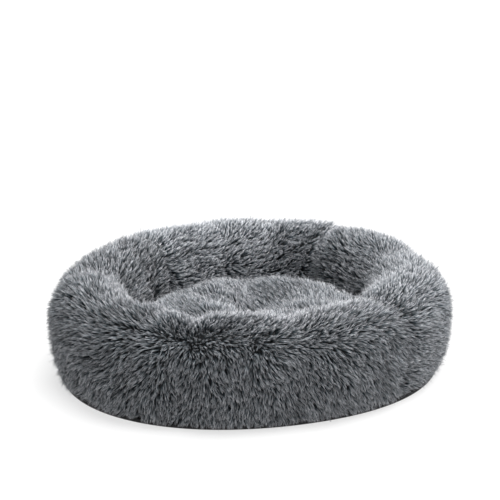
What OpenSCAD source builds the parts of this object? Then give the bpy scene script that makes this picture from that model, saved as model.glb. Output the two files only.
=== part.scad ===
// Round plush pet bed: a stuffed ring around a stuffed nest cushion, in a washable
// cover that opens with a zipper across its non-slip base. Millimetres, +Z up,
// origin on the floor under the centre of the bed.

/* [Bed] */
// Overall diameter over the pile
bed_d = 600; // [480:5:760]
// Overall height over the pile
bed_h = 178; // [145:1:220]
// Radial width of the bolster ring over the pile
bolster_w = 146; // [115:1:180]
// Height at which the bolster's outer wall is widest
widest_z = 80; // [76:1:95]
// How far the outer wall draws in between its widest height and the base seam
foot_inset = 45; // [30:1:45]
// Height of the top of the nest cushion over the pile
nest_h = 92; // [74:1:115]
// Radius that rounds the top edge of the nest cushion
nest_edge_r = 40; // [32:1:48]

/* [Plush] */
// Standing length of the pile
pile_len = 20; // [10:0.5:26]
// Thickness of the knitted backing that carries the pile
backing_t = 2; // [1:0.1:3]
// Direction of the first seam between bolster panels, from +X towards +Y
seam_azimuth = 55; // [0:1:89]

/* [Inner bags] */
// Thickness of the non-woven lining of the inner bags
lining_t = 1; // [0.6:0.1:2]
// Gap between one layer and the next
layer_gap = 0.3; // [0.1:0.05:0.6]

/* [Base] */
// Thickness of the Oxford base fabric
base_t = 1.2; // [0.8:0.1:2]
// Height of the grip dots under the base fabric
dot_h = 0.8; // [0.7:0.1:1.4]
// Diameter of a grip dot
dot_d = 6; // [3:0.5:9]
// Distance between neighbouring grip dots
dot_pitch = 30; // [20:1:40]
// Radial width of the binding that covers the base seam
binding_w = 11; // [7:0.5:16]
// Height of the binding above the floor
binding_h = 7; // [5:0.5:10]
// Length of one stitch
stitch_len = 5; // [3:0.5:6]
// Distance from one stitch to the next
stitch_pitch = 8; // [7.5:0.5:12]
// Width of the sewing thread
thread_w = 0.9; // [0.5:0.1:1.2]
// Thickness of a stitch below the fabric that it lies on
thread_h = 0.5; // [0.3:0.1:0.6]
// Length of the blank care label
label_len = 46; // [30:1:60]
// Width of the blank care label
label_w = 24; // [18:1:32]
// Thickness of the blank care label
label_t = 0.5; // [0.3:0.1:0.6]

/* [Zipper] */
// Length of the zipper's coils
zip_len = 380; // [300:5:460]
// Half the width of the channel that the zipper lies in
channel_half = 15; // [13:0.5:18]
// Height of the channel's roof above the floor
channel_h = 7; // [6.5:0.1:9]
// Gap between the slider's side and the hem that the tape is sewn to
hem_gap = 0.8; // [0.5:0.1:1.5]
// Thickness of the woven tapes
tape_t = 0.8; // [0.6:0.1:1.2]
// Width of one coil
coil_w = 2.6; // [2:0.1:3]
// Height of the coils
coil_h = 2.4; // [2:0.1:3]
// Half the gap between the two coils
coil_gap_half = 0.65; // [0.6:0.05:0.8]
// Length of the slider
slider_len = 12; // [10:0.5:15]
// Thickness of the slider's plates
plate_t = 1; // [0.8:0.1:1.2]
// Clearance between the slider and what runs through it
slider_clearance = 0.25; // [0.15:0.05:0.35]
// Length of the puller from its pin to its tip
puller_len = 26; // [18:1:29]
// Width of the puller at its tip
puller_w = 7; // [6:0.5:9]
// Thickness of the puller
puller_t = 1.2; // [0.9:0.1:1.4]
// Radius of the pin that the puller hinges on
pin_r = 0.62; // [0.5:0.02:0.7]
// Radial clearance of the pin in its lug
pin_clearance = 0.08; // [0.04:0.01:0.1]

/* [Hidden] */
$fn = 72;

// Colours of the real materials
plush_grey = [0.42, 0.43, 0.45];
lining_white = [0.86, 0.86, 0.84];
fibre_white = [0.95, 0.95, 0.93];
oxford_charcoal = [0.12, 0.12, 0.13];
binding_black = [0.07, 0.07, 0.08];
thread_grey = [0.30, 0.30, 0.32];
dot_black = [0.05, 0.05, 0.05];
nickel = [0.62, 0.62, 0.64];
label_white = [0.93, 0.93, 0.92];

// Bolster
panel_count = 4;
panel_angle = 360 / panel_count;
out_r = bed_d / 2;
in_r = out_r - bolster_w;
mid_r = out_r - bolster_w / 2;
crest_r = bolster_w / 2;
plush_t = pile_len + backing_t;
bag_inset = plush_t + layer_gap;
fill_inset = bag_inset + lining_t + layer_gap;

// Below its widest height the outer wall is an arc that curls in to the top of the binding
wall_drop = widest_z - binding_h;
wall_r = (wall_drop * wall_drop + foot_inset * foot_inset) / (2 * foot_inset);

// Base
base_top = dot_h + base_t;
seat_z = base_top + layer_gap;
binding_out_r = out_r - foot_inset - 1;
base_r = binding_out_r - binding_w;
binding_round = 2;
stitch_row_inset = 5;
stitch_row_r = base_r - stitch_row_inset;
dot_field_r = stitch_row_r - dot_d;
label_x = 85;
label_y = -75;
label_margin = 4;

// Zipper
tape_z = channel_h;
coil_z = channel_h + tape_t / 2;
puller_room = 4;
channel_end = zip_len / 2 + puller_len + puller_room;
stop_len = 3;
stop_room = 3;
hem_end = zip_len / 2 + stop_len + stop_room;
tape_tail = 12;
tape_end = hem_end + tape_tail;
coil_out = coil_gap_half + coil_w;
plate_gap_half = coil_h / 2 + slider_clearance;
slot_half = tape_t / 2 + slider_clearance;
flange_t = 1;
flange_in = coil_out + slider_clearance;
slider_half_w = flange_in + flange_t;
hem_edge = slider_half_w + hem_gap;
hem_low = channel_h - base_t;
plate_low_z = coil_z - plate_gap_half - plate_t;
slider_top_z = coil_z + plate_gap_half + plate_t;
neck_gap = 0.2;
neck_r = coil_gap_half - neck_gap;
neck_setback = 2;
parked_gap = 1;
slider_x = zip_len / 2 - slider_len / 2 - parked_gap;
lug_r = 1.7;
lug_w = 2.2;
lug_drop = 0.05;
lug_forward = 1;
pin_z = plate_low_z - lug_r - lug_drop;
pin_x = slider_x + lug_forward;
arm_gap = 0.3;
arm_w = 1.2;
arm_r = 1.3;
tip_floor_gap = 0.15;
puller_droop = asin((pin_z - puller_t / 2 - tip_floor_gap) / puller_len);
tunnel_room = 1;
tunnel_head_room = 0.8;
tunnel_half = channel_half + base_t + tunnel_room;
tunnel_top = slider_top_z + tunnel_head_room;
tunnel_end = channel_end + base_t + tunnel_room;
hem_stitch_inset = 3;
zip_stitch_y = hem_edge + hem_stitch_inset;
tiny = 0.01;

// ---- shapes that several parts share ----

// Cross-section of the bolster in the radius-height plane, drawn in by an inset, down to z_low
module bolster_section(inset, z_low) {
    intersection() {
        union() {
            translate([mid_r, bed_h - crest_r]) circle(r = crest_r - inset);
            translate([in_r + inset, z_low])
                square([bolster_w - 2 * inset, bed_h - crest_r - z_low]);
        }
        union() {
            translate([out_r - wall_r - inset, widest_z]) circle(r = wall_r, $fn = 180);
            translate([in_r, widest_z]) square([bolster_w - inset, bed_h - widest_z]);
        }
    }
}

// Cross-section of the nest cushion, drawn in by an inset, down to z_low
module nest_section(inset, z_low) {
    edge_r = nest_edge_r - inset;
    side_r = in_r - layer_gap - inset;
    top_z = nest_h - inset;
    translate([0, z_low]) square([side_r - edge_r, top_z - z_low]);
    translate([0, z_low]) square([side_r, top_z - edge_r - z_low]);
    translate([side_r - edge_r, top_z - edge_r])
        intersection() {
            circle(r = edge_r);
            translate([-tiny, -tiny]) square(edge_r + 2 * tiny);
        }
}

// Space over the zipper that the inner parts keep clear, with a skin of the given thickness
module zipper_tunnel(skin) {
    translate([-tunnel_end - skin, -tunnel_half - skin, -1])
        cube([2 * (tunnel_end + skin), 2 * (tunnel_half + skin), tunnel_top + skin + 1]);
}

// Half of the plane: side is -1 for the front of the bed and 1 for its back
module half_space(side) {
    reach = out_r + 10;
    translate([-reach, side > 0 ? 0 : -reach, -1]) cube([2 * reach, reach, bed_h + 2]);
}

// One straight stitch, lying along X under a fabric whose underside is at z
module stitch(z) {
    translate([-stitch_len / 2, -thread_w / 2, z - thread_h])
        cube([stitch_len, thread_w, thread_h]);
}

// ---- plush cover ----

// One panel of the bolster's cover: backing and pile from the base binding over the crest
// and down the inner wall. index counts panels from the first seam.
module bolster_panel(index) {
    color(plush_grey)
        difference() {
            rotate([0, 0, seam_azimuth + index * panel_angle])
                rotate_extrude(angle = panel_angle)
                    difference() {
                        bolster_section(0, seat_z);
                        bolster_section(plush_t, seat_z - 1);
                        translate([mid_r, seat_z - 1]) square([bolster_w, binding_h - seat_z + 1]);
                    }
            zipper_tunnel(0);
        }
}

module bolster_panel_back() { bolster_panel(0); }
module bolster_panel_left() { bolster_panel(1); }
module bolster_panel_front() { bolster_panel(2); }
module bolster_panel_right() { bolster_panel(3); }

// The nest cushion's cover: backing and pile over the top and down the side
module nest_panel() {
    color(plush_grey)
        difference() {
            rotate_extrude()
                difference() {
                    nest_section(0, seat_z);
                    nest_section(plush_t, seat_z - 1);
                }
            zipper_tunnel(0);
        }
}

// ---- inner bags and their filling ----

module bolster_bag(inset, z_low, skin) {
    difference() {
        rotate_extrude() bolster_section(inset, z_low);
        zipper_tunnel(skin);
    }
}

module nest_bag(inset, z_low, skin) {
    difference() {
        rotate_extrude() nest_section(inset, z_low);
        zipper_tunnel(skin);
    }
}

// Non-woven bag inside the bolster
module bolster_lining() {
    color(lining_white)
        difference() {
            bolster_bag(bag_inset, seat_z, 0);
            bolster_bag(bag_inset + lining_t, seat_z + lining_t, lining_t);
        }
}

// Polyester fibre that stuffs the bolster
module bolster_fill() {
    color(fibre_white) bolster_bag(fill_inset, seat_z + lining_t + layer_gap, lining_t + layer_gap);
}

// Non-woven bag inside the nest cushion
module nest_lining() {
    color(lining_white)
        difference() {
            nest_bag(bag_inset, seat_z, 0);
            nest_bag(bag_inset + lining_t, seat_z + lining_t, lining_t);
        }
}

// Polyester fibre that stuffs the nest cushion
module nest_fill() {
    color(fibre_white) nest_bag(fill_inset, seat_z + lining_t + layer_gap, lining_t + layer_gap);
}

// ---- base ----

// A block centred on the Z axis in plan, from z_low up
module centred_block(half_x, half_y, z_low, h) {
    translate([-half_x, -half_y, z_low]) cube([2 * half_x, 2 * half_y, h]);
}

// Half of the base: a flat half disc that steps up around the zipper's channel and turns in
// over the channel as a hem
module base_fabric(side) {
    color(oxford_charcoal)
        intersection() {
            difference() {
                union() {
                    translate([0, 0, dot_h]) cylinder(r = base_r, h = base_t);
                    centred_block(channel_end + base_t, channel_half + base_t, dot_h, channel_h - dot_h);
                }
                centred_block(channel_end, channel_half, -1, hem_low + 1);
                centred_block(hem_end, hem_edge, -1, channel_h + 2);
            }
            half_space(side);
        }
}

module base_fabric_front() { base_fabric(-1); }
module base_fabric_back() { base_fabric(1); }

// Binding around the base seam, which the bed stands on
module base_binding() {
    inner = base_r;
    outer = binding_out_r;
    low = binding_h - binding_round;
    color(binding_black)
        rotate_extrude() {
            translate([inner, 0]) square([binding_w - binding_round, binding_h]);
            translate([inner, 0]) square([binding_w, low]);
            translate([outer - binding_round, low])
                intersection() {
                    circle(r = binding_round);
                    translate([-tiny, -tiny]) square(binding_round + 2 * tiny);
                }
        }
}

// Row of lockstitches that holds the binding to the base fabric
module binding_stitches() {
    count = floor(2 * PI * stitch_row_r / stitch_pitch);
    color(thread_grey)
        for (i = [0:count - 1])
            rotate([0, 0, (i + 0.5) * 360 / count])
                translate([0, stitch_row_r, 0]) stitch(dot_h);
}

function in_disc(x, y) = norm([x, y]) < dot_field_r;
function in_channel(x, y) =
    abs(y) < channel_half + base_t + dot_d && abs(x) < channel_end + base_t + dot_d;
function in_label(x, y) =
    abs(x - label_x) < label_len / 2 + dot_d / 2 + label_margin
    && abs(y - label_y) < label_w / 2 + dot_d / 2 + label_margin;
dot_rows = floor(dot_field_r / (dot_pitch * sin(60)));
dot_columns = floor(dot_field_r / dot_pitch) + 1;
dot_places = [
    for (row = [-dot_rows:dot_rows], column = [-dot_columns:dot_columns])
        let (x = (column + (row % 2 == 0 ? 0 : 0.5)) * dot_pitch, y = row * dot_pitch * sin(60))
            if (in_disc(x, y) && !in_channel(x, y) && !in_label(x, y)) [x, y]
];

// Printed grip dots, in staggered rows
module grip_dots() {
    color(dot_black)
        for (place = dot_places)
            translate([place[0], place[1], 0]) cylinder(d = dot_d, h = dot_h, $fn = 24);
}

// Blank label sewn flat to the underside
module care_label() {
    color(label_white)
        translate([label_x - label_len / 2, label_y - label_w / 2, dot_h - label_t])
            cube([label_len, label_w, label_t]);
}

// ---- zipper ----

module zipper_tape(side) {
    tape_w = channel_half - coil_out;
    color(binding_black)
        translate([-tape_end, side > 0 ? coil_out : -coil_out - tape_w, tape_z])
            cube([2 * tape_end, tape_w, tape_t]);
}

module zipper_tape_front() { zipper_tape(-1); }
module zipper_tape_back() { zipper_tape(1); }

module zipper_coil(side) {
    color(binding_black)
        translate([-zip_len / 2, side > 0 ? coil_gap_half : -coil_out, coil_z - coil_h / 2])
            cube([zip_len, coil_w, coil_h]);
}

module zipper_coil_front() { zipper_coil(-1); }
module zipper_coil_back() { zipper_coil(1); }

// A metal stop beyond each end of the coils
module zipper_stops() {
    color(nickel)
        for (end = [-1, 1])
            translate([end * (zip_len + stop_len) / 2, 0, coil_z])
                cube([stop_len, 2 * coil_out, coil_h], center = true);
}

// Stitches that hold the tapes to the hems
module zipper_stitches() {
    count = floor(zip_len / stitch_pitch);
    color(thread_grey)
        for (side = [-1, 1], i = [0:count - 1])
            translate([(i + 0.5 - count / 2) * stitch_pitch, side * zip_stitch_y, 0])
                stitch(hem_low);
}

// Two plates joined by a neck between the coils, with flanges beside the tapes and a lug below
module zipper_slider() {
    flange_h = plate_gap_half - slot_half;
    color(nickel)
        translate([slider_x, 0, 0]) {
            for (end = [-1, 1]) {
                plate_z = end > 0 ? coil_z + plate_gap_half : plate_low_z;
                flange_z = end > 0 ? coil_z + slot_half : coil_z - plate_gap_half;
                translate([-slider_len / 2, -slider_half_w, plate_z])
                    cube([slider_len, 2 * slider_half_w, plate_t]);
                for (side = [-1, 1])
                    translate([-slider_len / 2, side > 0 ? flange_in : -slider_half_w, flange_z])
                        cube([slider_len, flange_t, flange_h]);
            }
            translate([slider_len / 2 - neck_setback, 0, plate_low_z + plate_t / 2])
                cylinder(r = neck_r, h = 2 * plate_gap_half + plate_t, $fn = 24);
            translate([pin_x - slider_x, 0, pin_z])
                difference() {
                    union() {
                        rotate([90, 0, 0]) cylinder(r = lug_r, h = lug_w, center = true);
                        translate([-lug_r, -lug_w / 2, 0])
                            cube([2 * lug_r, lug_w, plate_low_z - pin_z + plate_t / 2]);
                    }
                    rotate([90, 0, 0])
                        cylinder(r = pin_r + pin_clearance, h = lug_w + 2, center = true);
                }
        }
}

// Flat puller with two arms and the pin that passes through the slider's lug. It hangs from
// the pin until its tip is just clear of the floor.
module zipper_puller() {
    arm_in = lug_w / 2 + arm_gap;
    arm_out = arm_in + arm_w;
    neck_x = lug_r + 2 * arm_gap;
    color(nickel)
        translate([pin_x, 0, pin_z]) rotate([0, -puller_droop, 0]) {
            rotate([90, 0, 0]) cylinder(r = pin_r, h = 2 * arm_out, center = true);
            for (side = [-1, 1])
                translate([0, side * (arm_in + arm_w / 2), 0]) {
                    rotate([90, 0, 0]) cylinder(r = arm_r, h = arm_w, center = true);
                    translate([-neck_x - 1, -arm_w / 2, -puller_t / 2])
                        cube([neck_x + 1, arm_w, puller_t]);
                }
            difference() {
                translate([0, 0, -puller_t / 2])
                    linear_extrude(puller_t)
                        polygon([
                            [-neck_x, -arm_out], [-neck_x, arm_out],
                            [-puller_len, puller_w / 2], [-puller_len, -puller_w / 2]
                        ]);
                translate([-puller_len + puller_w / 2, 0, -puller_t])
                    cylinder(d = puller_w / 2, h = 2 * puller_t, $fn = 32);
            }
        }
}

bolster_panel_back();
bolster_panel_left();
bolster_panel_front();
bolster_panel_right();
bolster_lining();
bolster_fill();
nest_panel();
nest_lining();
nest_fill();
base_fabric_front();
base_fabric_back();
base_binding();
binding_stitches();
grip_dots();
care_label();
zipper_tape_front();
zipper_tape_back();
zipper_coil_front();
zipper_coil_back();
zipper_stops();
zipper_stitches();
zipper_slider();
zipper_puller();
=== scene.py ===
# %% [markdown]
# # A round plush pet bed
# This lesson builds the looks of a round bed for a cat or a small dog. A stuffed ring, the bolster,
# stands around a lower stuffed cushion, the nest. Both are covered in long grey plush. The bed
# stands on an Oxford base with grip dots, which a zipper opens so that the cover can be washed.
# Everything is in metres, with Z up and the front of the bed towards -Y.

# %% Open the frame
import math

import bpy
import numpy as np
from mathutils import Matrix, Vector, noise


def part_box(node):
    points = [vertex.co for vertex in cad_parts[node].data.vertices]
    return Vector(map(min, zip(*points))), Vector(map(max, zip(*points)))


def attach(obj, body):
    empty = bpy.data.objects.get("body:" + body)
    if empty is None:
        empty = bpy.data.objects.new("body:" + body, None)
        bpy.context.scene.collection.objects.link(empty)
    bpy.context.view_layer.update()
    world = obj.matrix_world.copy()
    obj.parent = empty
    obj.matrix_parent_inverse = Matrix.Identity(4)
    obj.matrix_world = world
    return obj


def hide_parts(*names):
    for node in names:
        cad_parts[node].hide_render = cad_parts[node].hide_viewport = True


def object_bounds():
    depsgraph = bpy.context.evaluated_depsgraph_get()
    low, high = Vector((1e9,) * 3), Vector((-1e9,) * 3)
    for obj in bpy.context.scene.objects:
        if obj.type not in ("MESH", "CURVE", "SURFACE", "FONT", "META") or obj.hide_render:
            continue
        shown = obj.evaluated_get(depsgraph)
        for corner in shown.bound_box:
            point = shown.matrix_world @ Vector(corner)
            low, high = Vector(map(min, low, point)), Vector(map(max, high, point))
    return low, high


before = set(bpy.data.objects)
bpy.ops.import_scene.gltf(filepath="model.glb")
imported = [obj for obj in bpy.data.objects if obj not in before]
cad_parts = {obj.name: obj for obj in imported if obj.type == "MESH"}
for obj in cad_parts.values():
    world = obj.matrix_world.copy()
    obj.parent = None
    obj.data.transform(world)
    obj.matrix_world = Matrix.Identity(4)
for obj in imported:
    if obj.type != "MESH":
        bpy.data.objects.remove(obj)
cad_low, cad_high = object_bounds()
scene = bpy.context.scene
print("frame:", [round(v * 1000) for v in cad_high - cad_low], "mm,", len(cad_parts), "nodes")

# %% [markdown]
# ## Sizes come from the frame
# The frame holds the bed as plain solids at its real size. The sizes below are measured on them, so
# that the soft shapes land where the solids are and would follow them if the bed were another size.

# %% Measure the frame
MM = 0.001
_, nest_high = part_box("nest_panel")
_, binding_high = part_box("base_binding")
base_low, base_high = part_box("base_fabric_front")
coil_low, coil_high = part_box("zipper_coil_back")
label_low, label_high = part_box("care_label")

bed_r = cad_high.x
bed_h = cad_high.z
nest_r = nest_high.x
nest_top = nest_high.z
ring_w = bed_r - nest_r
binding_r = binding_high.x
binding_h = binding_high.z
base_r = base_high.x
base_z = base_low.z
print(f"ring {ring_w / MM:.0f} mm wide and {bed_h / MM:.0f} high, nest {2 * nest_r / MM:.0f} mm across")

# %% [markdown]
# ## Stage, light and camera
# A product is often shown on a white sweep. Here the floor is a very large plane. It is grey paper
# that also glows, so that it comes out white and the bed's shadow on it stays faint. A single sun
# with a wide, soft disc stands nearly overhead, a little to the right. A sun lights the far floor as
# much as the near floor, so the floor stays even all the way back. A weak pale sky fills the
# shadows. Light from above makes the crest of the ring bright and leaves its wall dark.

# %% Light the stage
scene.view_settings.view_transform = "Standard"


def new_material(name, **sockets):
    """A material with its shader's own sockets set, and its nodes and links at hand."""
    material = bpy.data.materials.new(name)
    material.use_nodes = True
    shader = material.node_tree.nodes["Principled BSDF"]
    for socket, value in sockets.items():
        shader.inputs[socket.replace("_", " ")].default_value = value
    return material, material.node_tree.nodes, material.node_tree.links, shader


def rgb(red, green, blue):
    """An opaque colour."""
    return (red, green, blue, 1.0)


def object_from(name, verts, faces, material, smooth=True):
    """A mesh object made from points and faces."""
    mesh = bpy.data.meshes.new(name)
    mesh.from_pydata(verts, [], faces)
    mesh.materials.append(material)
    mesh.polygons.foreach_set("use_smooth", [smooth] * len(mesh.polygons))
    piece = bpy.data.objects.new(name, mesh)
    scene.collection.objects.link(piece)
    return piece


FLOOR_REACH = 30.0
FLOOR_Z = -0.3 * MM
paper, _, _, _ = new_material(
    "white_sweep",
    Base_Color=rgb(0.24, 0.24, 0.24),
    Roughness=0.9,
    Emission_Color=rgb(1, 1, 1),
    Emission_Strength=0.72,
)
around_floor = ((-1, -1), (1, -1), (1, 1), (-1, 1))
corners = [(x * FLOOR_REACH, y * FLOOR_REACH, FLOOR_Z) for x, y in around_floor]
floor = object_from("floor", corners, [(0, 1, 2, 3)], paper)

TO_SUN = Vector((0.26, -0.04, 1))
sun = bpy.data.lights.new("softbox", "SUN")
sun.energy = 5.9
sun.angle = math.radians(52)
sun_object = bpy.data.objects.new("softbox", sun)
sun_object.rotation_euler = TO_SUN.to_track_quat("Z", "Y").to_euler()
scene.collection.objects.link(sun_object)

world = bpy.data.worlds.new("studio")
world.use_nodes = True
world.node_tree.nodes["Background"].inputs["Color"].default_value = rgb(0.95, 0.98, 1.0)
world.node_tree.nodes["Background"].inputs["Strength"].default_value = 0.10
scene.world = world

# %% [markdown]
# The camera is a long lens held a little above the bed. A long lens keeps the far side of the ring
# almost as wide as the near side, which is how the bed is usually pictured.

# %% Aim the camera
CAMERA_ELEVATION = math.radians(18)
CAMERA_DISTANCE = 2.453
AIM = Vector((-0.002, 0, 0.1905))
camera_data = bpy.data.cameras.new("camera")
camera_data.sensor_width = 36
camera_data.lens = 115
camera = bpy.data.objects.new("camera", camera_data)
back = Vector((0, -math.cos(CAMERA_ELEVATION), math.sin(CAMERA_ELEVATION)))
camera.location = AIM + CAMERA_DISTANCE * back
camera.rotation_euler = back.to_track_quat("Z", "Y").to_euler()
scene.collection.objects.link(camera)
scene.camera = camera

# %% [markdown]
# ## The outline of the real bed
# A stuffed bed is never a true circle. This one is a little long from its front left to its back
# right, and its back and its left stand a little taller. `reach` gives the ring's outer radius in
# any direction, `foot_shift` how far its foot spreads, and `tallness` the share of the full height.
# The seams pull the ring in, and here and there the filling has bunched and leaves a pinch between
# two soft lumps. Directions are in degrees or radians from +X, towards +Y.

# %% Shape the outline
SEAMS = [math.radians(a) for a in (55, 145, 235, 325)]
SEAM_DEPTH = 7 * MM
SEAM_WIDTH = 13 * MM
# Each pinch: its direction in degrees, how deep it is in mm and how wide it is in mm
PINCHES = [
    (22, 8, 24),
    (84, 4, 30),
    (111, 4, 26),
    (182, 9, 28),
    (214, 6, 24),
    (247, 14, 24),
    (286, 6, 30),
]
MEAN_REACH = 1.004
OVAL_X, OVAL_DIAGONAL = 0.058, 0.050
FOOT_SPREAD, FOOT_OVAL = 12, 6
MEAN_TALL, BACK_TALLER, LEFT_TALLER = 0.997, 0.041, 0.022


def reach(theta):
    """Outer radius of the bed over its pile, in the direction theta."""
    oval = 1 + OVAL_X * np.cos(2 * theta) + OVAL_DIAGONAL * np.sin(2 * theta)
    return bed_r * MEAN_REACH * oval


def foot_shift(theta):
    """How far the foot spreads past the solid's own foot in the direction theta, in metres."""
    return (FOOT_SPREAD + FOOT_OVAL * np.cos(2 * theta)) * MM


def tallness(theta):
    """Height of the crest in the direction theta, as a share of the bed's height."""
    return MEAN_TALL + BACK_TALLER * np.sin(theta) - LEFT_TALLER * np.cos(theta)


def turn_between(a, b):
    """The signed angle from b to a, from -pi to pi."""
    return (a - b + np.pi) % (2 * np.pi) - np.pi


def pinch_depth(theta):
    """How far the surface is drawn in at theta, in metres."""
    depth = np.zeros_like(theta)
    arc_r = bed_r - ring_w / 2
    for seam in SEAMS:
        depth += SEAM_DEPTH * np.exp(-((turn_between(theta, seam) * arc_r / SEAM_WIDTH) ** 2))
    for azimuth, deep, wide in PINCHES:
        away = turn_between(theta, math.radians(azimuth)) * arc_r
        depth += deep * MM * np.exp(-((away / (wide * MM)) ** 2))
    return depth


# %% [markdown]
# ## A grid that goes round the ring
# The knitted backing of the plush is one surface: it rises from the nest up the inner wall, rolls
# over the crest and comes down the outer wall, which is fullest below half its height and draws in
# to the binding. A grid suits it, with one direction around the bed and the other along this
# section. The same grid later tells each lock of pile where it grows and which way its surface
# faces. The bottom closes the loop, so that air pressure can puff the ring.

# %% Draw the ring's section
AROUND = 288
INSET = 20 * MM
FOOT_Z = 12 * MM
WIDEST_Z = 84 * MM
TAPE_TOP_GAP = 1.5 * MM
INNER_SLOPE = 3 * MM
FOOT_OVERLAP = 5 * MM
FOOT_CURL = 2.1


def resample(points, count, closed=False):
    """count points at even steps along a polyline."""
    points = np.array(points, float)
    if closed:
        points = np.vstack([points, points[:1]])
    steps = np.r_[0, np.cumsum(np.linalg.norm(np.diff(points, axis=0), axis=1))]
    at = np.linspace(0, steps[-1], count + 1)[:-1] if closed else np.linspace(0, steps[-1], count)
    return np.stack([np.interp(at, steps, points[:, k]) for k in range(points.shape[1])], axis=1)


def ring_section(inset, steps):
    """Points (offset outwards from the ring's middle, height), up the inner wall and down the outer."""
    crest_r = ring_w / 2 - inset
    crest_z = bed_h - ring_w / 2
    inner = [
        (-crest_r + INNER_SLOPE * (1 - h), FOOT_Z + h * (crest_z - FOOT_Z))
        for h in np.linspace(0, 1, 12)
    ]
    crest = [
        (-crest_r * math.cos(a), crest_z + crest_r * math.sin(a))
        for a in np.linspace(0, math.pi, 40)
    ]
    foot_z = binding_h + TAPE_TOP_GAP
    foot_draw = bed_r - binding_r - inset + FOOT_OVERLAP
    outer = [(crest_r, crest_z)]
    outer += [
        (crest_r - foot_draw * h**FOOT_CURL, WIDEST_Z - h * (WIDEST_Z - foot_z))
        for h in np.linspace(0, 1, 20)
    ]
    return resample(inner + crest[1:-1] + outer, steps)


SECTION_STEPS = 56
BOTTOM_STEPS = 12
section = ring_section(INSET, SECTION_STEPS)
bottom = np.linspace(section[-1], section[0], BOTTOM_STEPS + 2)[1:-1]
loop = np.vstack([section, bottom])
theta = np.arange(AROUND) * 2 * math.pi / AROUND


def lumps(points, size, seed):
    """Smooth noise from -1 to 1 at each point, with swellings of about the given size."""
    offset = Vector((seed * 7.3, seed * 3.1, seed * 1.7))
    values = [noise.noise(Vector(p) / size + offset) for p in points.reshape(-1, 3)]
    return np.array(values).reshape(points.shape[:-1])


def ring_grid(profile):
    """The profile carried round the bed's outline, as an array of points (around, along, xyz)."""
    middle = (reach(theta) - ring_w / 2)[:, None]
    radius = middle + profile[None, :, 0]
    height = profile[None, :, 1] * tallness(theta)[:, None]
    x, y = radius * np.cos(theta)[:, None], radius * np.sin(theta)[:, None]
    return np.stack([x, y, height], axis=2)


def normals_of(grid, closed=False):
    """Unit normals that point out of the ring or the cushion. closed says that its columns close too."""
    around = np.roll(grid, -1, axis=0) - np.roll(grid, 1, axis=0)
    if closed:
        along = np.roll(grid, -1, axis=1) - np.roll(grid, 1, axis=1)
    else:
        along = np.gradient(grid, axis=1)
    normal = np.cross(along, around)
    return normal / np.maximum(np.linalg.norm(normal, axis=2, keepdims=True), 1e-9)


LUMP_HEIGHT = 6 * MM
LUMP_SIZE = 80 * MM
LIFT_RISE = 40 * MM

ring = ring_grid(loop)
column = np.arange(len(loop))
foot_share = np.clip(1 - loop[:, 1] / WIDEST_Z, 0, 1) ** 2
outer_side = np.clip((column - SECTION_STEPS / 2) / 2, 0, 1)
foot_share *= outer_side * np.clip((len(loop) - column) / BOTTOM_STEPS, 0, 1)
outwards = np.stack([np.cos(theta), np.sin(theta), 0 * theta], axis=1)
ring += (foot_shift(theta)[:, None] * foot_share[None, :])[..., None] * outwards[:, None]
ring_lift = np.clip((ring[..., 2] - FOOT_Z) / LIFT_RISE, 0, 1)
ring -= normals_of(ring, True) * (pinch_depth(theta)[:, None] * ring_lift)[..., None]
ring += normals_of(ring, True) * (LUMP_HEIGHT * lumps(ring, LUMP_SIZE, 1) * ring_lift)[..., None]
print("ring grid:", ring.shape[0], "by", ring.shape[1], "points")

# %% [markdown]
# ## The nest cushion
# The nest is a cushion that fills the ring's opening, so its outline is read from the ring's inner
# wall. Its grid is polar: it starts at the centre, crosses the top, and rolls down the side into
# the gap beside the ring. Where an animal has lain the middle is pressed in, and the filling
# swells into a few soft lumps around it.

# %% Draw the nest
NEST_STEPS = 40
NEST_EDGE = 30 * MM
NEST_GAP = 9 * MM
NEST_SINK = 3 * MM
# Each swelling of the top: its direction in degrees, then its distance from the centre, its height
# and its size in mm
SWELLINGS = [
    (205, 80, 14, 34),
    (125, 84, 15, 38),
    (62, 86, 12, 40),
    (345, 88, 11, 36),
    (285, 84, 10, 36),
    (250, 24, -15, 32),
]


def nest_profile(steps):
    """Points (share of the nest's radius, drop below its top), from the centre to the foot."""
    side = nest_r
    flat = [(r / side, 0.0) for r in np.linspace(2 * MM, side - NEST_EDGE, 16)]
    roll = [
        ((side - NEST_EDGE * (1 - math.sin(a))) / side, NEST_EDGE * (1 - math.cos(a)))
        for a in np.linspace(0, math.pi / 2, 16)
    ]
    foot = [(1.0, d) for d in np.linspace(NEST_EDGE, nest_top - NEST_SINK - FOOT_Z, 8)]
    return resample(flat + roll[1:] + foot[1:], steps)


def nest_grid(profile, around_it):
    """The nest's profile carried round inside the wall of a ring."""
    wall = around_it[:, 2:SECTION_STEPS // 4]
    outline = (np.hypot(wall[..., 0], wall[..., 1]).min(axis=1) - NEST_GAP)[:, None]
    radius = outline * profile[None, :, 0]
    x, y = radius * np.cos(theta)[:, None], radius * np.sin(theta)[:, None]
    height = nest_top - NEST_SINK - profile[None, :, 1]
    top_share = np.clip(1 - profile[None, :, 1] / NEST_EDGE, 0, 1)
    for azimuth, distance, high, size in SWELLINGS:
        cx = distance * MM * math.cos(math.radians(azimuth))
        cy = distance * MM * math.sin(math.radians(azimuth))
        near = np.exp(-((x - cx) ** 2 + (y - cy) ** 2) / (size * MM) ** 2)
        height = height + high * MM * top_share * near
    return np.stack([x, y, height + 0 * x], axis=2)


# %% [markdown]
# ## Puffing the cushions
# A stuffed cover is taut where the filling presses and drawn in where it is sewn. Blender's cloth
# solver shows this by itself: the grid becomes cloth, its seams and its foot are held, air pressure
# takes the place of the fibre, and gravity is off. Twenty frames are enough. The result is read back
# into the grid, and no point may move further than a cap, so that the bed keeps its size. The ring
# comes first, and the nest is drawn inside the wall that it then has.

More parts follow.
